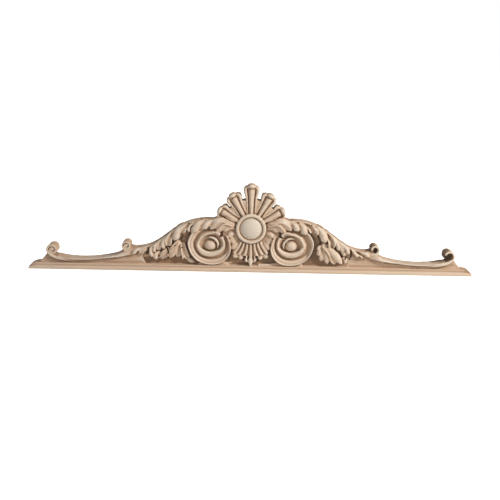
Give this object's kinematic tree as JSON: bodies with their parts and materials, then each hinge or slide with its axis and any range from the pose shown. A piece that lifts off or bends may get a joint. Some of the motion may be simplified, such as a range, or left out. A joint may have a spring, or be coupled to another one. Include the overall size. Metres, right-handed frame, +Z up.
{
  "type": "carved floral applique",
  "caption": "Long carved wooden crest with a rayed rosette, volutes and leaves on an S-curved hump, scrolled side rails and a moulded plinth.",
  "frame": {"origin": "middle of the flat underside, halfway between the back and the plinth's front lip", "axes": "+X along the crest to the viewer's right, +Z up, the carved face looks along -Y and the flat back along +Y"},
  "size_m": [1, 0.04, 0.1985],
  "materials": {
    "wood": "bare sanded"
  },
  "bodies": {
    "root": {"carved_applique": "wood"}
  },
  "joints": []
}
